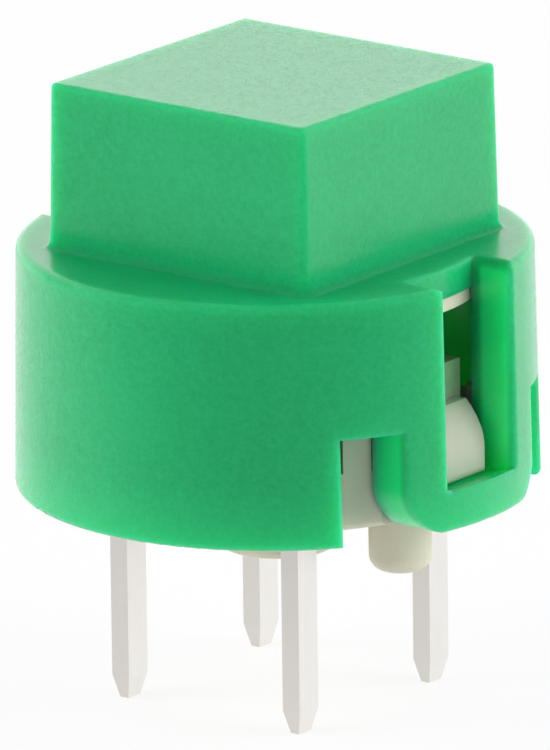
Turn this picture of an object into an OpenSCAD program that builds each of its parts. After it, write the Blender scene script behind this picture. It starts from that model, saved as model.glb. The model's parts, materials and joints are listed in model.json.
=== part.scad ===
// Tactile push button switch with a round skirted key, for mounting on a circuit board.
// Z = 0 is the board's surface, the feet stand on it and the pins reach through it.

/* [Key cap] */
// Outside diameter of the round skirt
cap_d = 12.4; // [12:0.1:14]
// Height of the skirt's lower edge above the board
skirt_z = 1.6; // [1.4:0.05:2]
// Height of the skirt from its lower edge to its rim
skirt_h = 5.9; // [5.5:0.1:7]
// Thickness of the skirt's wall
skirt_wall = 0.95; // [0.7:0.05:1.05]
// Lean of the skirt's outside, inwards on the way up, in degrees
skirt_draft = 1; // [0:0.25:1.5]
// Thickness of the plate that closes the skirt
plate_t = 0.7; // [0.5:0.05:1]
// Side of the square key, measured at its top
key_w = 7.46; // [6.8:0.02:8]
// Height of the square key above the rim
key_h = 4; // [2.5:0.1:6]
// Side walls and roof of the hollow key
key_wall = 1; // [0.7:0.05:1.2]
// Draft of the key's sides in degrees
key_draft = 1.3; // [0.5:0.1:2]
// Rounding of the key's upright edges
key_edge_r = 0.12; // [0.1:0.01:0.3]
// Hollow rounding where the key's sides meet the shoulder
key_foot_r = 0.2; // [0.1:0.01:0.25]
// Rounding of the skirt's rim
rim_r = 0.2; // [0.1:0.05:0.3]
// Rounding of the rim's corners beside a window
rim_corner_r = 0.3; // [0.2:0.01:0.4]
// Rounding of the skirt's lower edge
lower_edge_r = 0.15; // [0.12:0.01:0.2]

/* [Latch windows] */
// Width of each tongue that carries a window
tongue_w = 4.84; // [4.4:0.02:5.2]
// Width of the notch on each side of a tongue
notch_w = 1.28; // [1:0.02:1.5]
// Height of the notches above the skirt's lower edge
notch_h = 2.62; // [2:0.02:3]
// Distance from the axis to a tongue's flat inner face
tongue_x = 4.8; // [4.75:0.01:4.9]
// Rounding of a tongue's lower corners
tongue_corner_r = 1.2; // [0.8:0.05:1.4]
// Width of the window
window_w = 2.5; // [2.3:0.02:2.8]
// Rounding of the upright outer edges of windows and notches
opening_edge_r = 0.15; // [0.1:0.01:0.2]
// Height of the bar that closes the window below
bar_h = 1; // [0.8:0.02:1.2]
// Fall of the bar's top, from the skirt's outside in to the hook
bar_fall = 0.2; // [0.1:0.01:0.25]
// Radius at which the window cuts off the edge of the plate
window_lip_r = 5; // [4.98:0.01:5.1]

/* [Plunger] */
// Radius of the plunger's disc
disc_r = 4.9; // [4.6:0.05:4.95]
// Thickness of the plunger's disc
disc_t = 0.36; // [0.3:0.02:0.5]
// Height of the square boss that fills the key
boss_h = 2.2; // [1.5:0.1:2.4]
// Wall of the boss
boss_wall = 0.7; // [0.5:0.05:0.9]
// Radius of the stem that presses the dome
stem_r = 0.8; // [0.6:0.05:1]
// Travel of the key until the disc meets the stop
travel = 1.2; // [0.9:0.05:1.3]
// Clearance left at the end of the travel
stop_gap = 0.04; // [0.02:0.01:0.1]
// Clearance between pieces that are assembled by hand
fit_gap = 0.05; // [0.03:0.01:0.08]
// Clearance between pieces that slide on each other
slide_gap = 0.15; // [0.1:0.01:0.2]

/* [Base] */
// Radius of the base's floor
base_r = 5.1; // [4.9:0.02:5.15]
// Height of the floor's underside above the board
base_z = 1.7; // [1.65:0.05:2]
// Thickness of the floor
floor_t = 1.4; // [1.2:0.05:1.6]
// Inner radius of the chamber that holds the dome
chamber_r = 2.65; // [2.4:0.05:2.7]
// Wall of the chamber
chamber_wall = 0.5; // [0.4:0.05:0.6]
// Inner radius of the short guide walls beside the tongues
guide_r = 4.5; // [4.4:0.02:4.6]
// Height of the guide walls above the floor
guide_h = 0.9; // [0.6:0.05:1]
// First and last angle of a guide wall, counted from the middle of its tongue
guide_angles = [27, 35];

/* [Latch arms] */
// Distance from the axis to an arm's outer face
arm_x = 4.5; // [4.4:0.01:4.55]
// Thickness of a latch arm
arm_t = 0.6; // [0.5:0.02:0.65]
// Width of a latch arm
arm_w = 2.4; // [2.2:0.01:2.45]
// Height of an arm's top above the board
arm_top = 5.02; // [4.8:0.01:5.2]
// Width of the hook on an arm
hook_w = 2; // [1.7:0.02:2.2]
// Distance from the axis to the tip of a hook
hook_x = 5.45; // [5.3:0.01:5.55]
// Height of a hook from its flat underside to its ledge
hook_h = 1.7; // [1.6:0.01:1.8]
// Distance from the axis to the end of a hook's ledge
ledge_x = 4.82; // [4.7:0.01:5]
// Rounding of a hook's lower outer edge
hook_low_r = 0.2; // [0.1:0.01:0.3]
// Rounding of a hook's upright edges
hook_side_r = 0.2; // [0.1:0.01:0.3]
// Clearance between a hook and the bar of its window
latch_gap = 0.03; // [0.02:0.01:0.06]

/* [Feet] */
// Radius of the two round feet
foot_r = 0.75; // [0.6:0.01:0.9]
// Distance from the axis to each foot
foot_x = 3.6; // [3.4:0.05:3.7]
// Radius of the round boss under the middle of the base
boss_r = 1.45; // [1.2:0.05:1.6]
// Rounding of the lower edge of feet and boss
foot_edge_r = 0.38; // [0.25:0.01:0.45]
// Rounding of the middle boss's end
boss_edge_r = 0.2; // [0.1:0.05:0.3]

/* [Terminals] */
// Spacing of the pins, the same both ways
pin_pitch = 5.08; // [5:0.01:5.2]
// Thickness of the terminal strip
strip_t = 0.5; // [0.4:0.02:0.55]
// Width of a pin
pin_w = 0.72; // [0.6:0.02:0.8]
// Length of a pin below the board
pin_l = 3.55; // [3:0.05:4]
// Length of the taper at a pin's tip
tip_l = 0.56; // [0.3:0.02:0.8]
// Taper of a pin's tip on each side
tip_t = 0.13; // [0.05:0.01:0.16]
// Inside radius of the bend from strip to pin
bend_r = 0.15; // [0.1:0.01:0.2]
// Depth of plastic over the strips outside the chamber
strip_cover = 0.25; // [0.2:0.01:0.3]
// Width of the wide strip that carries the dome's contacts
common_w = 1.14; // [1:0.02:1.3]
// Width of the narrow strip opposite
switched_w = 0.4; // [0.35:0.01:0.45]
// Width of the tongue that carries the middle contact
tab_w = 1.1; // [1:0.05:1.3]

/* [Contact] */
// Radius of the contact dome at its feet
dome_r = 2.4; // [2.2:0.05:2.45]
// Rise of the dome
dome_rise = 0.55; // [0.4:0.05:0.6]
// Thickness of the dome's sheet
dome_t = 0.08; // [0.06:0.01:0.1]
// Radius of the silver contacts
contact_r = 0.45; // [0.35:0.05:0.5]
// Height of the two contacts that the dome stands on
seat_h = 0.3; // [0.25:0.01:0.35]
// Height of the contact under the middle of the dome
centre_h = 0.4; // [0.35:0.01:0.45]
// Distance of the dome's seats from the axis, along X and along Y
seat_xy = 1.45; // [1.3:0.05:1.5]

/* [Chamber cover] */
// Thickness of the cover's rim, which stops the key
cover_rim_t = 0.35; // [0.3:0.01:0.4]
// Depth of the plug that centres the cover in the chamber
cover_plug_h = 0.4; // [0.3:0.01:0.5]

/* [Return spring] */
// Diameter of the spring's wire
wire_d = 0.28; // [0.22:0.02:0.34]
// Number of turns of the spring
spring_turns = 5; // [4:0.5:6]

/* [Hidden] */
$fn = 64;

cap_r = cap_d / 2;
rim_z = skirt_z + skirt_h;
draft_z = skirt_z + lower_edge_r;
rim_out_r = cap_r - (rim_z - rim_r - draft_z) * tan(skirt_draft);
plate_z = rim_z - plate_t;
key_top = rim_z + key_h;
skirt_in_r = cap_r - skirt_wall;
key_room_w = key_w - 2 * key_wall;
window_z = skirt_z + bar_h;
disc_z = plate_z - disc_t;
boss_w = key_room_w - 2 * fit_gap;
boss_room_w = boss_w - 2 * boss_wall;
boss_top = plate_z + boss_h;
boss_roof = boss_top - boss_wall;
floor_z = base_z + floor_t;
well_z = floor_z - strip_cover;
strip_z = well_z - strip_t;
stop_z = disc_z - travel - stop_gap;
chamber_out_r = chamber_r + chamber_wall;
chamber_top = stop_z - cover_rim_t;
dome_z = well_z + seat_h;
dome_ball_r = (pow(dome_r, 2) + pow(dome_rise, 2)) / (2 * dome_rise);
stem_end = well_z + centre_h + dome_t + travel + stop_gap;
pin_c = pin_pitch / 2;
bend_out_r = bend_r + strip_t;
bend_x = pin_c - strip_t / 2 - bend_r;
spring_r = chamber_out_r + slide_gap + wire_d / 2;
flat_x = tongue_x - slide_gap;
arm_in_x = arm_x - arm_t;
hook_z = window_z - bar_fall + latch_gap;
far = 2 * cap_r;
eps = 0.01;

// Both signs, for what the part has on its left and on its right
module both_sides() {
    for (side = [0, 1]) mirror([side, 0, 0]) children();
}

// Outline drawn in Y and Z, made solid along X from x0 to x1
module along_x(x0, x1) {
    translate([x0, 0, 0]) rotate([90, 0, 90]) linear_extrude(height = x1 - x0) children();
}

// Outline drawn in X and Z, made solid along Y, as wide as w and in the middle
module along_y(w) {
    translate([0, w / 2, 0]) rotate([90, 0, 0]) linear_extrude(height = w) children();
}

// What is left of a square's corner when a quarter circle rounds it, at the origin
module corner_waste(r) {
    difference() {
        translate([-eps, -eps]) square(r + eps);
        translate([r, r]) circle(r);
    }
}

// Turned solid with rounded outer edges, above and below
module round_disc(r, h, top_r, low_r) {
    rotate_extrude() {
        square([r - max(top_r, low_r), h]);
        translate([0, low_r]) square([r, h - top_r - low_r]);
        square([r - low_r, h / 2]);
        translate([0, h / 2]) square([r - top_r, h / 2]);
        intersection() {
            translate([r - low_r, low_r]) circle(low_r);
            square([r, h]);
        }
        intersection() {
            translate([r - top_r, h - top_r]) circle(top_r);
            square([r, h]);
        }
    }
}

// Half of the key's section, from the axis of a corner out to the drafted side and its hollow foot
module key_half_section() {
    edge_z = key_top - key_edge_r;
    foot_z = rim_z + key_foot_r - eps;
    side_x = key_edge_r + (edge_z - foot_z) * tan(key_draft);
    difference() {
        polygon([[0, plate_z], [side_x + key_foot_r, plate_z], [side_x + key_foot_r, foot_z], [side_x, foot_z],
                 [key_edge_r, edge_z], [0, edge_z]]);
        translate([side_x + key_foot_r, foot_z]) circle(key_foot_r);
    }
    translate([0, edge_z]) intersection() {
        circle(key_edge_r);
        square(key_edge_r);
    }
}

// Section of the key through the middle, with both its sides
module key_section() {
    for (side = [0, 1]) mirror([side, 0]) translate([key_w / 2 - key_edge_r, 0]) key_half_section();
    translate([key_edge_r - key_w / 2, plate_z]) square([key_w - 2 * key_edge_r, key_top - plate_z]);
}

// Square key with drafted sides and rounded edges, from the plate up
module key_block() {
    corner = key_w / 2 - key_edge_r;
    for (turn = [0, 90]) rotate(turn) along_y(2 * corner) key_section();
    for (x = [-corner, corner], y = [-corner, corner]) translate([x, y, 0]) rotate_extrude() key_half_section();
}

// Space that one tongue's two notches and its rounded corners take, in Y and Z
module notch_outline() {
    for (side = [0, 1]) mirror([side, 0]) {
        translate([tongue_w / 2, skirt_z - eps]) square([notch_w, notch_h + eps]);
        translate([tongue_w / 2, skirt_z]) rotate(90) corner_waste(tongue_corner_r);
    }
}

// Space that a window takes in X and Z, over the falling top of the bar and open through the rim
module window_section() {
    polygon([[arm_in_x, window_z - bar_fall], [hook_x, window_z - bar_fall], [cap_r, window_z],
             [cap_r + 1, window_z], [cap_r + 1, far], [arm_in_x, far]]);
}

// Space that rounds the rim's two corners beside a window, in Y and Z
module rim_corners() {
    for (side = [0, 1]) mirror([side, 0]) translate([window_w / 2, rim_z]) mirror([0, 1])
        corner_waste(rim_corner_r);
}

// Disc of the skirt, drafted, with a rounded edge below and a rounded rim
module skirt_disc() {
    rotate_extrude() {
        polygon([[0, skirt_z], [cap_r - lower_edge_r, skirt_z], [cap_r - lower_edge_r, draft_z], [cap_r, draft_z],
                 [rim_out_r, rim_z - rim_r], [rim_out_r - rim_r, rim_z - rim_r], [rim_out_r - rim_r, rim_z],
                 [0, rim_z]]);
        translate([cap_r - lower_edge_r, draft_z]) intersection() {
            circle(lower_edge_r);
            translate([0, -lower_edge_r]) square(lower_edge_r);
        }
        translate([rim_out_r - rim_r, rim_z - rim_r]) intersection() {
            circle(rim_r);
            square(rim_r);
        }
    }
}

// Waste from z0 to z1 that rounds the edge where a wall at y meets the skirt's drafted outside.
// The material is on the side of larger y (1) or of smaller y (-1).
module edge_waste(y, material, z0, z1) {
    wall = y - material * eps;
    centre_r = cap_r - opening_edge_r + eps / 2;
    centre_y = y + material * opening_edge_r;
    centre_x = sqrt(pow(centre_r, 2) - pow(centre_y, 2));
    end_y = material > 0 ? centre_y * (cap_r + 1) / centre_r : wall;
    end = [centre_x * end_y / centre_y, end_y];
    corners = material > 0 ? [[cap_r + 1, wall], [cap_r + 1, end_y]] : [];
    lean = skirt_draft * centre_r / centre_x;
    intersection() {
        translate([cap_r, 0, draft_z]) rotate([0, -lean, 0]) translate([-cap_r, 0, -1 - draft_z + z0])
            linear_extrude(height = z1 - z0 + 2) difference() {
                polygon(concat([[centre_x, centre_y], [centre_x, wall]], corners, [end]));
                translate([centre_x, centre_y]) circle(opening_edge_r);
            }
        translate([0, 0, z0]) cube([cap_r + 1, far, z1 - z0]);
    }
}

// Rounded upright edges of one tongue's window and of the notches beside it
module opening_edges() {
    for (side = [0, 1]) mirror([0, side, 0]) {
        edge_waste(window_w / 2, 1, window_z, rim_z + 1);
        edge_waste(tongue_w / 2, -1, skirt_z - 1, skirt_z + notch_h);
        edge_waste(tongue_w / 2 + notch_w, 1, skirt_z - 1, skirt_z + notch_h);
    }
}

// Green key with its round skirt, one moulding
module cap() {
    color([0.16, 0.66, 0.4]) difference() {
        union() {
            skirt_disc();
            key_block();
        }
        difference() {
            translate([0, 0, skirt_z - eps]) cylinder(h = plate_z - skirt_z + eps, r = skirt_in_r);
            both_sides() translate([tongue_x, -tongue_w / 2, skirt_z - 1])
                cube([cap_r, tongue_w, skirt_h + 1]);
        }
        translate([-key_room_w / 2, -key_room_w / 2, plate_z - 1])
            cube([key_room_w, key_room_w, key_top - key_wall - plate_z + 1]);
        both_sides() along_x(arm_in_x, cap_r + 1) notch_outline();
        both_sides() difference() {
            union() {
                along_y(window_w) window_section();
                along_x(arm_in_x, cap_r + 1) rim_corners();
            }
            translate([0, 0, plate_z]) cylinder(h = far, r = window_lip_r);
        }
        both_sides() opening_edges();
    }
}

// Ivory plunger, a disc under the cap's plate with a boss in the key and a stem on the axis
module plunger() {
    color([0.8, 0.77, 0.66]) {
        difference() {
            union() {
                translate([0, 0, disc_z]) cylinder(h = disc_t, r = disc_r);
                translate([-boss_w / 2, -boss_w / 2, disc_z]) cube([boss_w, boss_w, boss_top - disc_z]);
            }
            translate([-boss_room_w / 2, -boss_room_w / 2, disc_z - 1])
                cube([boss_room_w, boss_room_w, boss_roof - disc_z + 1]);
        }
        translate([0, 0, stem_end]) round_disc(stem_r, boss_roof - stem_end + eps, eps, stem_r / 3);
        for (turn = [0, 90]) rotate(turn) translate([-boss_w / 2 + eps, -boss_wall / 2, plate_z])
            cube([boss_w - 2 * eps, boss_wall, boss_roof - plate_z + eps]);
    }
}

// Height of the spring's wire, counted in turns from the base, with a closed turn at each end
function coil_z(t) =
    let (low = floor_z + wire_d / 2)
    let (high = disc_z - latch_gap - wire_d / 2)
    let (lead = wire_d * 1.05)
    let (run = high - low - 2 * lead)
    t < 1 ? low + lead * t
    : t > spring_turns - 1 ? high - lead * (spring_turns - t)
    : low + lead + run * (t - 1) / (spring_turns - 2);

// Coil spring around the chamber, swept as a round wire with closed ends
module return_spring() {
    rings = 20 * spring_turns;
    sides = 10;
    points = [for (i = [0 : rings], k = [0 : sides - 1])
        let (t = i / 20, turn = 360 * t, round = 360 * k / sides)
        [(spring_r + wire_d / 2 * cos(round)) * cos(turn),
         (spring_r + wire_d / 2 * cos(round)) * sin(turn),
         coil_z(t) + wire_d / 2 * sin(round)]];
    skin = [for (i = [0 : rings - 1], k = [0 : sides - 1])
        let (a = i * sides + k, b = i * sides + (k + 1) % sides)
        [a, a + sides, b + sides, b]];
    ends = [[for (k = [0 : sides - 1]) k], [for (k = [sides - 1 : -1 : 0]) rings * sides + k]];
    color([0.75, 0.76, 0.78]) polyhedron(points = points, faces = concat(skin, ends));
}

// Ivory ring that closes the chamber, guides the stem and stops the disc
module chamber_cover() {
    color([0.8, 0.77, 0.66]) difference() {
        union() {
            translate([0, 0, chamber_top - cover_plug_h])
                cylinder(h = cover_plug_h + eps, r = chamber_r - fit_gap);
            translate([0, 0, chamber_top]) cylinder(h = cover_rim_t, r = chamber_out_r);
        }
        translate([0, 0, chamber_top - cover_plug_h - 1])
            cylinder(h = cover_plug_h + cover_rim_t + 2, r = stem_r + slide_gap);
    }
}

// Snap dome on four legs, cut from a thin sheet and pressed to a part of a ball
module contact_dome() {
    color([0.78, 0.79, 0.8]) difference() {
        translate([0, 0, dome_z + dome_rise - dome_ball_r]) rotate_extrude(angle = 360)
            intersection() {
                difference() {
                    circle(dome_ball_r + dome_t, $fn = 360);
                    circle(dome_ball_r, $fn = 360);
                }
                translate([0, dome_ball_r - dome_rise]) square([dome_r, dome_rise + 2 * dome_t]);
            }
        for (turn = [0 : 90 : 270]) rotate(turn) translate([dome_r + contact_r, 0, dome_z - 1])
            cylinder(h = dome_rise + 2, r = 2 * contact_r);
    }
}

// Round silver contact that stands on a strip, with its upper edge rounded
module contact_button(h) {
    translate([0, 0, well_z]) round_disc(contact_r, h, contact_r / 4, eps);
}

// Two contacts under the dome's legs
module dome_contacts() {
    color([0.82, 0.82, 0.84]) for (side = [-1, 1])
        translate([-seat_xy, side * seat_xy, 0]) contact_button(seat_h);
}

// Contact under the middle of the dome
module centre_contact() {
    color([0.82, 0.82, 0.84]) contact_button(centre_h);
}

// Pin with its bend, seen along Y, for a terminal whose pins are on the side of +X
module pin_profile() {
    difference() {
        translate([bend_x, strip_z - bend_r]) circle(bend_out_r);
        translate([bend_x, strip_z - bend_r]) circle(bend_r);
        translate([bend_x - far, strip_z - bend_r - far]) square([far, 2 * far]);
        translate([bend_x - far, strip_z - bend_r - far]) square([2 * far, far]);
    }
    polygon([[bend_x + bend_r, strip_z - bend_r + eps], [bend_x + bend_out_r, strip_z - bend_r + eps],
             [bend_x + bend_out_r, tip_l - pin_l], [bend_x + bend_out_r - tip_t, -pin_l],
             [bend_x + bend_r + tip_t, -pin_l], [bend_x + bend_r, tip_l - pin_l]]);
    translate([bend_x - eps, strip_z]) square([2 * eps, strip_t]);
}

// Pin as wide as pin_w, tapered on all four sides at its tip
module pin() {
    intersection() {
        along_y(pin_w) pin_profile();
        along_x(0, far) polygon([[-pin_w / 2, far], [pin_w / 2, far], [pin_w / 2, tip_l - pin_l],
            [pin_w / 2 - tip_t, -pin_l], [tip_t - pin_w / 2, -pin_l], [-pin_w / 2, tip_l - pin_l]]);
    }
}

// Strip of a terminal with its two pins, on the side of +X
module strip_with_pins(w) {
    for (side = [-1, 1]) translate([0, side * pin_c, 0]) pin();
    translate([bend_x - w, -pin_c - pin_w / 2, strip_z]) cube([w, pin_pitch + pin_w, strip_t]);
}

// Stamped terminal under the dome's legs, two pins in one piece
module common_terminal() {
    color([0.86, 0.86, 0.84]) mirror([1, 0, 0]) strip_with_pins(common_w);
}

// Stamped terminal with a tongue to the middle contact, two pins in one piece
module switched_terminal() {
    color([0.86, 0.86, 0.84]) {
        strip_with_pins(switched_w);
        translate([0, -tab_w / 2, strip_z]) cube([bend_x - switched_w / 2, tab_w, strip_t]);
        translate([0, 0, strip_z]) cylinder(h = strip_t, r = tab_w / 2);
    }
}

// Hook seen along Y, on the side of +X, with a round nose that the cap's bar slides down
module hook_outline() {
    nose_z = hook_z + hook_low_r;
    nose = hook_x - ledge_x;
    nose_r = (pow(nose, 2) + pow(hook_z + hook_h - nose_z, 2)) / (2 * nose);
    root_x = arm_in_x + arm_t / 2;
    intersection() {
        translate([hook_x - nose_r, nose_z]) circle(nose_r);
        translate([root_x, nose_z]) square([hook_x - root_x, hook_z + hook_h - nose_z]);
    }
    translate([root_x, hook_z]) square([hook_x - hook_low_r - root_x, hook_low_r]);
    intersection() {
        translate([hook_x - hook_low_r, nose_z]) circle(hook_low_r);
        translate([hook_x - hook_low_r, hook_z]) square(hook_low_r);
    }
}

// Hook seen from above, with its outer corners rounded
module hook_plan() {
    square_x = hook_x - hook_side_r;
    translate([arm_in_x, -hook_w / 2]) square([square_x - arm_in_x, hook_w]);
    translate([arm_in_x, hook_side_r - hook_w / 2]) square([hook_x - arm_in_x, hook_w - 2 * hook_side_r]);
    for (side = [-1, 1]) translate([square_x, side * (hook_w / 2 - hook_side_r)]) circle(hook_side_r);
}

// Latch arm with its hook, on the side of +X
module latch_arm() {
    translate([arm_in_x, -arm_w / 2, floor_z - eps]) cube([arm_t, arm_w, arm_top - floor_z + eps]);
    intersection() {
        along_y(hook_w + 1) hook_outline();
        linear_extrude(height = far) hook_plan();
    }
}

// Short curved walls that guide the cap on both sides of a tongue
module guide_walls() {
    sweep = guide_angles[1] - guide_angles[0];
    for (side = [0, 1]) mirror([0, side, 0]) translate([0, 0, floor_z - eps]) rotate(guide_angles[0])
        rotate_extrude(angle = sweep) translate([guide_r, 0]) square([base_r - guide_r, guide_h + eps]);
}

// Ivory base with its chamber, latch arms, feet and the boss in the middle, one moulding
module base() {
    color([0.84, 0.81, 0.71]) difference() {
        union() {
            intersection() {
                translate([0, 0, base_z]) round_disc(base_r, floor_t, eps, lower_edge_r);
                translate([-flat_x, -far / 2, 0]) cube([2 * flat_x, far, far]);
            }
            translate([0, 0, floor_z - eps]) cylinder(h = chamber_top - floor_z + eps, r = chamber_out_r);
            both_sides() latch_arm();
            both_sides() guide_walls();
            both_sides() translate([foot_x, 0, 0]) round_disc(foot_r, base_z + eps, eps, foot_edge_r);
            round_disc(boss_r, base_z + eps, eps, boss_edge_r);
        }
        difference() {
            translate([0, 0, well_z]) cylinder(h = far, r = chamber_r);
            for (side = [-1, 1]) translate([seat_xy, side * seat_xy, 0])
                cylinder(h = dome_z, r = contact_r);
        }
        common_terminal();
        switched_terminal();
    }
}

cap();
plunger();
return_spring();
chamber_cover();
contact_dome();
dome_contacts();
centre_contact();
common_terminal();
switched_terminal();
base();
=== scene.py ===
# %% [markdown]
# # A tactile push button switch, dressed in Blender
# The switch stands on four tinned pins. A green cap slides over an ivory base, and two hooks of
# the base hold it in two windows of the cap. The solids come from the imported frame, in metres,
# and this lesson gives them their finishes, a camera and a plain soft light.

# %% Load the frame
import json
import math

import bpy
from mathutils import Matrix, Vector

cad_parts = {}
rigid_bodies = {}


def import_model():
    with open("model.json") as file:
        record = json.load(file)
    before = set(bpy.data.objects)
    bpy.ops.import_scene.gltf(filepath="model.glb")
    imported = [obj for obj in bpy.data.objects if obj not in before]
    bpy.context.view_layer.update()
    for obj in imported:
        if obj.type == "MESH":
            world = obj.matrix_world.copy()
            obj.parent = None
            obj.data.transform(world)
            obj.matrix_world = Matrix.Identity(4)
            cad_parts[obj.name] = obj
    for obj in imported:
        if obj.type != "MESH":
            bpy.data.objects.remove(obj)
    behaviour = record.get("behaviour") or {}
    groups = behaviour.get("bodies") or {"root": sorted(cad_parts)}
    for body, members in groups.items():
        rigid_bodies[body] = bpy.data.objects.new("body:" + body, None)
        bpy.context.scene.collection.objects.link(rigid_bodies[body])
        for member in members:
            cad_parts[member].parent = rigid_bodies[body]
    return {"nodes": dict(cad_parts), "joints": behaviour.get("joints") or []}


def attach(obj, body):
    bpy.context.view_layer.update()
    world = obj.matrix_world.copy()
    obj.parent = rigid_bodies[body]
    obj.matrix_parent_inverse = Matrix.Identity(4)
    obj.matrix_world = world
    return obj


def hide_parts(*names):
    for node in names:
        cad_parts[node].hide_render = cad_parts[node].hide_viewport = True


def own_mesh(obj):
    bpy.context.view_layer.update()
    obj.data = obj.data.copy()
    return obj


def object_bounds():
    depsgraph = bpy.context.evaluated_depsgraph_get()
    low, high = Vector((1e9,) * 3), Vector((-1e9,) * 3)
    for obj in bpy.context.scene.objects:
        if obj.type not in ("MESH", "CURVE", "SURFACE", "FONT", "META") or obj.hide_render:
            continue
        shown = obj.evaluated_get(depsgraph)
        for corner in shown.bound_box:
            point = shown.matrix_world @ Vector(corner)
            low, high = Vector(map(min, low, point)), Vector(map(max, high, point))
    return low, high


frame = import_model()
cad_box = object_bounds()
nodes = frame["nodes"]
MM = 0.001
print("nodes:", ", ".join(sorted(nodes)))

# %% [markdown]
# ## Directions
# Camera, lamps, floor and tent are all laid out by angles around the switch. One helper turns two
# angles into a direction. The azimuth is counted from minus Y, and the elevation from the floor.

# %% Directions
def direction(azimuth, elevation):
    """A step of length one from the switch toward these two angles, given in radians."""
    flat = math.cos(elevation)
    return Vector((math.sin(azimuth) * flat, -math.cos(azimuth) * flat, math.sin(elevation)))


print("straight ahead is", [round(v, 3) for v in direction(0.0, 0.0)])

# %% [markdown]
# ## The camera
# A product photo like this is taken from far away with a long lens, so its edges stay almost
# parallel. The camera stands 380 mm from the switch, about 16 degrees above it, and looks at the
# corner of the key. It is tilted by less than a degree, as the photo is. No shift is used: the
# camera aims below the key, so the whole switch sits in the frame.

# %% Camera
CAMERA_AZIMUTH = math.radians(37.74)
CAMERA_ELEVATION = math.radians(15.83)
CAMERA_TILT = math.radians(-0.765)
CAMERA_DISTANCE = 379.7 * MM
CAMERA_LENS = 774.0
CAMERA_SENSOR = 36.0
NEAREST_SEEN = 0.01
FARTHEST_SEEN = 10.0
AIM_HEIGHT = 4.137 * MM
AIM_LEFT = 0.043 * MM


def aim_camera():
    """Builds the camera's own axes from its angles, and sets it back from the point it looks at."""
    back = direction(CAMERA_AZIMUTH, CAMERA_ELEVATION)
    level = Vector((math.cos(CAMERA_AZIMUTH), math.sin(CAMERA_AZIMUTH), 0.0))
    upright = back.cross(level)
    right = level * math.cos(CAMERA_TILT) + upright * math.sin(CAMERA_TILT)
    up = back.cross(right)
    data = bpy.data.cameras.new("camera")
    data.lens = CAMERA_LENS
    data.sensor_width = CAMERA_SENSOR
    data.clip_start = NEAREST_SEEN
    data.clip_end = FARTHEST_SEEN
    camera = bpy.data.objects.new("camera", data)
    place = Vector((0.0, 0.0, AIM_HEIGHT)) - level * AIM_LEFT + back * CAMERA_DISTANCE
    camera.matrix_world = Matrix.Translation(place) @ Matrix((right, up, back)).transposed().to_4x4()
    bpy.context.scene.collection.objects.link(camera)
    bpy.context.scene.camera = camera
    return camera


camera = aim_camera()
print("camera at", [round(v / MM, 1) for v in camera.location], "mm")

# %% [markdown]
# ## Writing shader maths as sums
# A procedural finish is a graph of nodes, and a graph is hard to read as code. Here a small class
# wraps a socket, so that `grain * 0.2 + 0.4` adds the two Math nodes by itself, and `1.0 - mask`
# works as well. Plain numbers are worked out in Python and never become nodes.

# %% Socket wrapper
class Signal:
    """A value that changes over a surface, as the output of a node."""

    def __init__(self, graph, socket):
        self.graph = graph
        self.socket = socket

    def __add__(self, other):
        return self.graph.math("ADD", self, other)

    def __sub__(self, other):
        return self.graph.math("SUBTRACT", self, other)

    def __rsub__(self, other):
        return self.graph.math("SUBTRACT", other, self)

    def __mul__(self, other):
        return self.graph.math("MULTIPLY", self, other)

    __radd__ = __add__
    __rmul__ = __mul__

    def clamped(self):
        return self.graph.node("ShaderNodeClamp", {}, {"Value": self}).out()


def blended(first, second, part):
    """This part of the first signal and the rest of the second."""
    return first * part + second * (1.0 - part)


def steps_of(kind):
    """The names of a class's own methods."""
    return ", ".join(name for name in vars(kind) if not name.startswith("_"))


print("signals can be added, subtracted, multiplied and blended, and are also", steps_of(Signal))

# %% [markdown]
# ## One way to make a node
# Every node comes from the same method. It takes the node's type, its settings, and a value or a
# signal for each socket. The light tent at the end has a graph of its own, so this method and the
# few steps around it stand in a class that finishes and tent share.

# %% Node maker
class Made:
    """A node that was just made, whose outputs are asked for by name or place."""

    def __init__(self, graph, node):
        self.graph = graph
        self.node = node

    def out(self, key=0):
        return Signal(self.graph, self.node.outputs[key])


class Graph:
    """A tree of nodes, of a material or of the world."""

    def __init__(self, tree):
        self.tree = tree

    def node(self, kind, settings, inputs):
        """Makes one node: its settings first, and then what goes into its sockets."""
        made = self.tree.nodes.new(kind)
        for key, value in settings.items():
            setattr(made, key, value)
        for key, value in inputs.items():
            self.feed(made.inputs[key], value)
        return Made(self, made)

    def feed(self, socket, value):
        """Links a signal to a socket, or sets a plain value on it."""
        if isinstance(value, Signal):
            self.tree.links.new(value.socket, socket)
        else:
            socket.default_value = value

    def math(self, operation, first, second=0.0):
        return self.node("ShaderNodeMath", {"operation": operation}, {0: first, 1: second}).out()

    def ramp(self, value, start, end):
        """Zero up to `start` and one from `end` on, with a soft change between."""
        return self.node("ShaderNodeMapRange", {"interpolation_type": "SMOOTHSTEP"},
                         {"Value": value, "From Min": start, "From Max": end}).out()

    def split(self, vector):
        """A node whose outputs X, Y and Z are the three parts of a vector."""
        return self.node("ShaderNodeSeparateXYZ", {}, {"Vector": vector})

    def reach(self, vector, toward):
        """How far a vector reaches in one direction."""
        return self.node("ShaderNodeVectorMath", {"operation": "DOT_PRODUCT"},
                         {0: vector, 1: toward}).out("Value")


print("steps of a graph:", steps_of(Graph))

# %% [markdown]
# ## What a finish is made of
# On a real moulding the colour, the gloss and the relief all change a little from place to place.
# A finish therefore starts from the point on the piece, in millimetres, and from noises at that
# point. The point belongs to the piece, so the pattern stays on it when the key goes down.
#
# Blender can also shade an edge as if it were rounder than it is. A Bevel node does that for a
# finish that asks for it, and the relief is added on top.
#
# A Mix node has a pair of sockets for every kind of value. The first numbers below are the places
# of the two colours that go in and of the colour that comes out.

# %% Finish maker
COLOUR_A = 6
COLOUR_B = 7
COLOUR_RESULT = 2
EDGE_SAMPLES = 6


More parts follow.
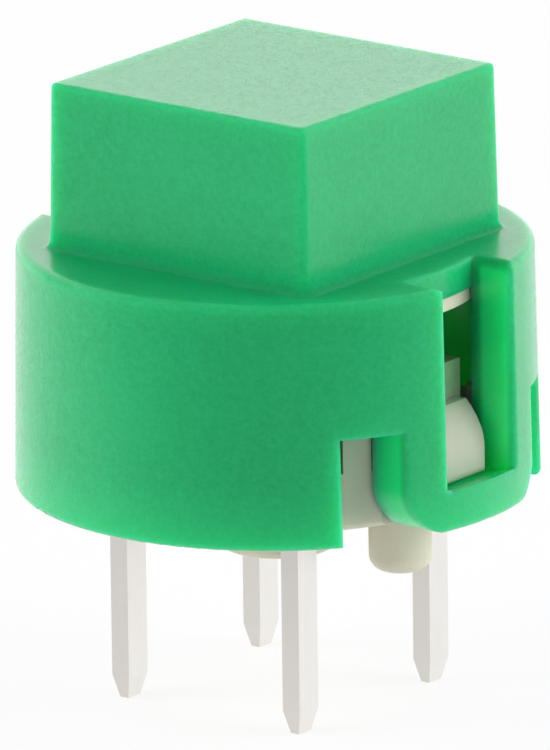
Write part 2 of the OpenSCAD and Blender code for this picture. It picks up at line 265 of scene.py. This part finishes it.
class Finish(Graph):
    """One material, with its tree and its Principled shader."""

    def __init__(self, name):
        self.material = bpy.data.materials.new(name)
        self.material.use_nodes = True
        super().__init__(self.material.node_tree)
        self.shader = self.tree.nodes["Principled BSDF"]

    def set(self, **values):
        """Feeds the shader's sockets, whose names are written with _ for a space."""
        for name, value in values.items():
            self.feed(self.shader.inputs[name.replace("_", " ")], value)
        return self

    def place(self):
        """The point of the object in millimetres, the same in every pose."""
        point = self.node("ShaderNodeTexCoord", {}, {}).out("Object")
        return self.node("ShaderNodeVectorMath", {"operation": "SCALE"},
                         {0: point, "Scale": 1.0 / MM}).out()

    def noise(self, point, scale, detail=3.0, roughness=0.5):
        inputs = {"Vector": point, "Scale": scale, "Detail": detail, "Roughness": roughness}
        return self.node("ShaderNodeTexNoise", {}, inputs).out("Fac")

    def mixed(self, factor, first, second):
        """A colour between two colours, by a number that changes over the surface."""
        return self.node("ShaderNodeMix", {"data_type": "RGBA"},
                         {"Factor": factor, COLOUR_A: first, COLOUR_B: second}).out(COLOUR_RESULT)

    def bump(self, height, strength, depth, soften=0.0):
        """A relief, over edges that are shaded as if rounded by `soften`."""
        inputs = {"Height": height, "Strength": strength, "Distance": depth}
        if soften:
            rounded = self.node("ShaderNodeBevel", {"samples": EDGE_SAMPLES}, {"Radius": soften})
            inputs["Normal"] = rounded.out()
        return self.set(Normal=self.node("ShaderNodeBump", {}, inputs).out())

    def report(self):
        print(self.material.name, "has", len(self.tree.nodes), "nodes")


print("steps of a finish:", steps_of(Finish))

# %% [markdown]
# ## Colours as they look
# A shader counts light, and a screen doesn't: half as bright on screen is about a fifth of the
# light. The colours below are written as they look, and this helper turns them into light.

# %% Colours
STRAIGHT_END = 0.04045
STRAIGHT_SLOPE = 12.92
CURVE_OFFSET = 0.055
CURVE_POWER = 2.4


def light_of(value):
    """The light behind one screen value: a straight start, and then a curve."""
    if value <= STRAIGHT_END:
        return value / STRAIGHT_SLOPE
    return ((value + CURVE_OFFSET) / (1.0 + CURVE_OFFSET)) ** CURVE_POWER


def shade(value):
    """A colour written as it looks on screen, turned into the linear numbers that a shader takes."""
    return (*[light_of(v) for v in value], 1.0)


print("half as bright on screen is", round(light_of(0.5), 3), "of the light")

# %% [markdown]
# ## Where the cap's plastic looks different
# The green plastic lets some light through. The cut walls of the windows and notches glow with it,
# and the hem of the skirt is a little paler than the rest. Tracing that light would be slow, so
# both are painted by place as painted glow: the walls lie between two radii and below the plate,
# and the hem is a band of height. The foot of the key, in the angle between key and plate, shines
# less than the rest. It is a band of height too.

# %% Zones of the cap, in millimetres
HEM_HEIGHTS = (1.6, 3.4)
WALL_INNER_RADII = (5.12, 5.32)
WALL_OUTER_RADII = (5.9, 6.1)
WALL_TOP_HEIGHTS = (7.2, 7.45)
FOOT_START_HEIGHTS = (7.5, 7.56)
FOOT_END_HEIGHTS = (7.75, 8.15)


def cap_zones(finish, point):
    """Masks for the skirt's hem, the cut walls of the openings, and the foot of the key."""
    parts = finish.split(point)
    x = parts.out("X")
    y = parts.out("Y")
    z = parts.out("Z")
    radius = finish.math("SQRT", x * x + y * y)
    hem = 1.0 - finish.ramp(z, *HEM_HEIGHTS)
    wall = finish.ramp(radius, *WALL_INNER_RADII) * (1.0 - finish.ramp(radius, *WALL_OUTER_RADII))
    wall = wall * (1.0 - finish.ramp(z, *WALL_TOP_HEIGHTS))
    foot = (1.0 - finish.ramp(z, *FOOT_END_HEIGHTS)) * finish.ramp(z, *FOOT_START_HEIGHTS)
    return hem, wall, foot


print("cut walls glow from radius", WALL_INNER_RADII[0], "to", WALL_OUTER_RADII[1], "mm")

# %% [markdown]
# ## Green moulded plastic
# The cap is a satin plastic from a spark-eroded mould, with a grain of about a tenth of a
# millimetre. A noise at two scales gives the grain, and a much wider one lets the colour drift a
# little, as it does along the flow of the melt. Light goes about a millimetre into the plastic
# and comes out again, which keeps the shadows soft.
#
# The sheen is a thin coat over a body that hardly shines. Its weight follows the grain, so the
# gloss is mottled. A coat that bends light less than glass shines mainly at a flat angle, where
# the real key looks pale. The real edges are rounder than those of the solid, so they are shaded
# softer.

# %% Green plastic
GREEN_DEEP = shade((0.0, 0.635, 0.375))
GREEN_PALE = shade((0.10, 0.72, 0.46))
# GREEN_GLOW is a painted glow, for light that comes through the plastic; HEM_GLOW is the share of it that
# the hem gets.
GREEN_GLOW = shade((0.14, 0.87, 0.55))
HEM_GLOW = 0.28
FLOW_IN_TONE = 0.4
GRAIN_IN_TONE = 1.8
TONE_OFFSET = 0.6
SATIN_LEAST = 0.30
GRAIN_IN_SATIN = 0.16
FOOT_IN_SATIN = 0.4
COAT_CONTRAST = 2.4
COAT_OFFSET = 0.3


def green_plastic():
    """Satin green with a mottled coat, and a painted glow where light would come through it."""
    finish = Finish("green_plastic")
    point = finish.place()
    flow = finish.noise(point, scale=0.35, detail=2.0)
    grain = finish.noise(point, scale=7.0, detail=4.0, roughness=0.7)
    speck = finish.noise(point, scale=26.0, detail=2.0)
    hem, wall, foot = cap_zones(finish, point)
    tone = (flow * FLOW_IN_TONE + grain * GRAIN_IN_TONE - TONE_OFFSET).clamped()
    # Painted glow: the hem and the cut walls are mixed toward the paler green.
    outside = finish.mixed(hem * HEM_GLOW, finish.mixed(tone, GREEN_DEEP, GREEN_PALE), GREEN_GLOW)
    finish.set(Base_Color=finish.mixed(wall, outside, GREEN_GLOW))
    finish.set(Roughness=grain * GRAIN_IN_SATIN + foot * FOOT_IN_SATIN + SATIN_LEAST)
    finish.set(Coat_Weight=((1.0 - foot) * (grain * COAT_CONTRAST - COAT_OFFSET)).clamped())
    finish.set(Coat_IOR=1.3, Coat_Roughness=0.22, IOR=1.5, Specular_IOR_Level=0.4)
    finish.set(Subsurface_Weight=1.0, Subsurface_Scale=1.3 * MM, Subsurface_Radius=(0.6, 1.0, 0.8))
    return finish.bump(blended(grain, speck, part=0.6), strength=0.6, depth=0.03 * MM, soften=0.28 * MM)


green = green_plastic()
green.report()

# %% [markdown]
# ## Ivory moulded plastic
# Base, plunger and chamber cover are an ivory plastic with a finer grain than the cap and a plain,
# weak gloss. A slow noise clouds the colour, as an unfilled plastic has it.
#
# The base's arms and hooks stand inside the cap, in light that has come through green walls. They
# look greyer than the feet, and the hooks look green. The base has its own finish for that, with
# painted shade and painted green light: its colour turns greyer and then green with height.

# %% Ivory plastic
IVORY_DEEP = shade((0.80, 0.78, 0.70))
IVORY_PALE = shade((0.87, 0.85, 0.78))
# The next two colours are painted light: a greyer ivory for the shade inside the cap, and a green one for
# the light that comes through its walls.
IVORY_PAINTED_SHADE = shade((0.72, 0.735, 0.67))
IVORY_PAINTED_GREEN_LIGHT = shade((0.50, 0.68, 0.51))
ARM_HEIGHTS = (1.5, 2.4)
HOOK_HEIGHTS = (3.9, 4.5)
IVORY_ROUGH_LEAST = 0.38
CLOUD_IN_ROUGH = 0.1


def ivory_plastic(name, shaded=False):
    """The ivory of every inner moulding; with `shaded`, painted shade and painted green light higher up.
    """
    finish = Finish(name)
    point = finish.place()
    cloud = finish.noise(point, scale=0.8)
    grain = finish.noise(point, scale=22.0, roughness=0.6)
    colour = finish.mixed(blended(cloud, grain, part=0.8).clamped(), IVORY_DEEP, IVORY_PALE)
    # Painted shade on the arms, then painted green light on the hooks, by height.
    if shaded:
        height = finish.split(point).out("Z")
        colour = finish.mixed(finish.ramp(height, *ARM_HEIGHTS), colour, IVORY_PAINTED_SHADE)
        colour = finish.mixed(finish.ramp(height, *HOOK_HEIGHTS), colour, IVORY_PAINTED_GREEN_LIGHT)
    finish.set(Base_Color=colour, Roughness=cloud * CLOUD_IN_ROUGH + IVORY_ROUGH_LEAST, IOR=1.5)
    finish.set(Subsurface_Weight=0.25, Subsurface_Scale=0.5 * MM, Subsurface_Radius=(1.0, 0.8, 0.5))
    return finish.bump(grain, strength=0.2, depth=0.015 * MM)


ivory = ivory_plastic("ivory_plastic")
ivory.report()
painted_shade_ivory = ivory_plastic("base_ivory_with_painted_shade", shaded=True)
painted_shade_ivory.report()

# %% [markdown]
# ## Metals
# The terminals are stamped from strip and tinned. Their flat sides are bright, with faint lines
# down each pin. The edges where the tool sheared the strip are a little darker, and these are the
# faces that look along Y. Spring and snap dome are steel, and the contacts are silver.
#
# The three metals differ in colour, in how rough they are, and in whether their pattern is drawn
# out into lines, so one function makes them all. A pattern is drawn out by squeezing the point
# before the noise is read: with Z taken at 0.06 of its size, each fleck is 17 times as long.

# %% Metals
EVEN = (1.0, 1.0, 1.0)
DOWN_THE_PIN = (1.0, 1.0, 0.06)
FACES_ALONG_Y = 0.75
SHEARED_SHARE = 0.9
LINES_IN_ROUGH = 0.16
CLOUD_IN_METAL_ROUGH = 0.10
METAL_RELIEF = 0.01 * MM


def sheared(finish):
    """One on the faces that look along Y, and zero elsewhere."""
    facing = finish.split(finish.node("ShaderNodeTexCoord", {}, {}).out("Normal")).out("Y")
    return finish.math("GREATER_THAN", finish.math("ABSOLUTE", facing), FACES_ALONG_Y)


def drawn_metal(name, dark, light, stretch, rough, strength, edge=None):
    """A metal between two colours, with a third on its sheared edges if there is one."""
    finish = Finish(name)
    point = finish.place()
    drawn = finish.node("ShaderNodeVectorMath", {"operation": "MULTIPLY"}, {0: point, 1: stretch}).out()
    lines = finish.noise(drawn, scale=9.0, detail=4.0, roughness=0.6)
    cloud = finish.noise(point, scale=2.2)
    colour = finish.mixed(blended(lines, cloud, part=0.6).clamped(), dark, light)
    if edge:
        colour = finish.mixed(sheared(finish) * SHEARED_SHARE, colour, edge)
    finish.set(Base_Color=colour, Metallic=1.0)
    finish.set(Roughness=lines * LINES_IN_ROUGH + cloud * CLOUD_IN_METAL_ROUGH + rough)
    return finish.bump(blended(lines, cloud, part=0.8), strength=strength, depth=METAL_RELIEF)


tin = drawn_metal("tinned_strip", dark=shade((0.93, 0.915, 0.90)), light=shade((1.0, 0.99, 0.975)),
                  stretch=DOWN_THE_PIN, rough=0.24, strength=0.25, edge=shade((0.86, 0.84, 0.82)))
steel = drawn_metal("spring_steel", dark=shade((0.62, 0.63, 0.65)), light=shade((0.82, 0.83, 0.84)),
                    stretch=EVEN, rough=0.2, strength=0.15)
silver = drawn_metal("silver_contact", dark=shade((0.80, 0.80, 0.80)), light=shade((0.93, 0.93, 0.92)),
                     stretch=EVEN, rough=0.15, strength=0.1)
for metal in (tin, steel, silver):
    metal.report()

# %% [markdown]
# ## Dressing the solids
# Each node of the CAD is made of one material, so each gets one finish. Its mesh stays as it came:
# only the material changes. Mouldings of the same plastic share a finish, and so do the terminals.

# %% Dress the solids
DRESS = {
    "cap": green,
    "plunger": ivory,
    "chamber_cover": ivory,
    "base": painted_shade_ivory,
    "common_terminal": tin,
    "switched_terminal": tin,
    "return_spring": steel,
    "contact_dome": steel,
    "dome_contacts": silver,
    "centre_contact": silver,
}
for name, finish in DRESS.items():
    nodes[name].data.materials.clear()
    nodes[name].data.materials.append(finish.material)
print("dressed", len(DRESS), "nodes")

# %% [markdown]
# ## Copies of the spring and the dome
# The return spring and the snap dome are pressed flat by the key. The CAD holds them at rest. Each
# gets a copy of itself here, with a mesh of its own, attached to the parent body of the key's
# joint, and the CAD node is hidden. The copies keep the shape at rest.
#
# A box is a low and a high corner, so [0][2] in the code is the lowest height that a piece
# reaches.

# %% Copies of the spring and the dome
PRESS = frame["joints"][0]


def pressed_copy(name):
    """A copy that stands for a CAD node, on the parent body of the key's joint, with the node hidden."""
    piece = bpy.data.objects.new("pressed_" + name, nodes[name].data.copy())
    bpy.context.scene.collection.objects.link(piece)
    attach(piece, PRESS["parent"])
    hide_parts(name)
    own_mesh(piece)
    return piece


spring = pressed_copy("return_spring")
dome = pressed_copy("contact_dome")

# %% [markdown]
# ## Floor
# The switch stands on white, as in a light tent. A lit sheet alone would come out grey and uneven,
# so most of what the camera and the mirroring pieces see of it is an even glow. The rest is the
# lit sheet, which keeps a trace of shadow under the switch.
#
# In mirrors the floor is darker on the camera's side, as the dim front of a tent leaves it. That
# gives the pins and the lower edges their darker parts. The camera itself sees plain white.

# %% Floor
FLOOR_HALF = 0.6
FLOOR_SHEET = shade((0.97, 0.97, 0.97))
FLOOR_FRONT = shade((0.62, 0.62, 0.62))
FLOOR_BACK = shade((1.0, 1.0, 1.0))
FLOOR_CHANGE = (-24.0, -4.0)
FLOOR_GLOW = 0.85
TOWARD_BACK = tuple(-direction(CAMERA_AZIMUTH, 0.0))
floor_z = cad_box[0][2]


def pale_finish():
    """A white sheet that also glows where the camera or a mirror sees it."""
    finish = Finish("pale_floor")
    finish.set(Base_Color=FLOOR_SHEET, Roughness=0.9, Specular_IOR_Level=0.1)
    path = finish.node("ShaderNodeLightPath", {}, {})
    seen = finish.math("MAXIMUM", path.out("Is Camera Ray"), path.out("Is Glossy Ray"))
    far = finish.ramp(finish.reach(finish.place(), TOWARD_BACK), *FLOOR_CHANGE)
    plain = finish.math("MAXIMUM", path.out("Is Camera Ray"), far)
    front = finish.node("ShaderNodeEmission", {}, {"Color": FLOOR_FRONT, "Strength": 1.0}).out()
    back = finish.node("ShaderNodeEmission", {}, {"Color": FLOOR_BACK, "Strength": 1.0}).out()
    glow = finish.node("ShaderNodeMixShader", {}, {0: plain, 1: front, 2: back}).out()
    sheet = Signal(finish, finish.shader.outputs[0])
    surface = finish.node("ShaderNodeMixShader", {}, {0: seen * FLOOR_GLOW, 1: sheet, 2: glow}).out()
    finish.feed(finish.tree.nodes["Material Output"].inputs["Surface"], surface)
    return finish


def pale_floor():
    """A square sheet at the height of the pins' tips."""
    ends = (-FLOOR_HALF, FLOOR_HALF)
    corners = [(x, y, floor_z) for y in ends for x in ends]
    mesh = bpy.data.meshes.new("floor")
    mesh.from_pydata(corners, [], [(0, 1, 3, 2)])
    floor = bpy.data.objects.new("floor", mesh)
    bpy.context.scene.collection.objects.link(floor)
    mesh.materials.append(pale_finish().material)
    return floor


floor = pale_floor()
print(floor.name, "at", round(floor_z / MM, 2), "mm")

# %% [markdown]
# ## Lamps
# Two large square lamps stand left and right of the switch, and light the near faces of the key
# evenly. They are not mirrored, because a lamp in the glossy coat would wash out the key's top at
# a flat angle.

# %% Lamps
LAMP_AZIMUTHS = {"left_softbox": -45.0, "right_softbox": 120.0}
LAMP_ELEVATION = 22.0
LAMP_DISTANCE = 0.4
LAMP_SIZE = 0.3
LAMP_POWER = 1.08


def soft_light(name, azimuth):
    """A square lamp that looks at the switch, placed by its angles as the camera is."""
    data = bpy.data.lights.new(name, "AREA")
    data.shape = "SQUARE"
    data.size = LAMP_SIZE
    data.energy = LAMP_POWER
    lamp = bpy.data.objects.new(name, data)
    toward = direction(math.radians(azimuth), math.radians(LAMP_ELEVATION))
    lamp.location = toward * LAMP_DISTANCE
    lamp.rotation_euler = toward.to_track_quat("Z", "Y").to_euler()
    lamp.visible_glossy = False
    bpy.context.scene.collection.objects.link(lamp)
    return lamp


for name, azimuth in LAMP_AZIMUTHS.items():
    lamp = soft_light(name, azimuth)
    print(lamp.name, "at", [round(v / MM) for v in lamp.location], "mm")

# %% [markdown]
# ## The tent around the lamps
# What the coat and the metals mirror is the world around them. A picture of a studio could stand
# there, but a few nodes do as well: a tent that is bright behind the switch, dimmer on the
# camera's side, and dimmer toward the roof. The camera itself sees plain white.

# %% Light tent
TENT_FRONT = 0.6
TENT_BACK = 1.5
TENT_TURN = (-0.9, 0.9)
TENT_ROOF = 0.45
ROOF_HEIGHT = 0.8


def light_tent():
    """A white world that is bright behind the switch, dim in front, and dimmer toward its roof."""
    world = bpy.data.worlds.new("light_tent")
    world.use_nodes = True
    tent = Graph(world.node_tree)
    sight = tent.node("ShaderNodeTexCoord", {}, {}).out("Generated")
    height = tent.split(sight).out("Z")
    wall = tent.ramp(tent.reach(sight, TOWARD_BACK), *TENT_TURN) * (TENT_BACK - TENT_FRONT) + TENT_FRONT
    roof = tent.node("ShaderNodeMapRange", {},
                     {"Value": height, "From Max": ROOF_HEIGHT, "To Min": 1.0, "To Max": TENT_ROOF}).out()
    camera_ray = tent.node("ShaderNodeLightPath", {}, {}).out("Is Camera Ray")
    background = tent.tree.nodes["Background"]
    tent.feed(background.inputs["Color"], shade((1.0, 1.0, 1.0)))
    tent.feed(background.inputs["Strength"], camera_ray + (1.0 - camera_ray) * (wall * roof))
    return world


bpy.context.scene.world = light_tent()
bpy.context.scene.view_settings.view_transform = "Standard"
print("tent walls from", TENT_FRONT, "to", TENT_BACK, "with a roof at", TENT_ROOF, "of them")

# %% [markdown]
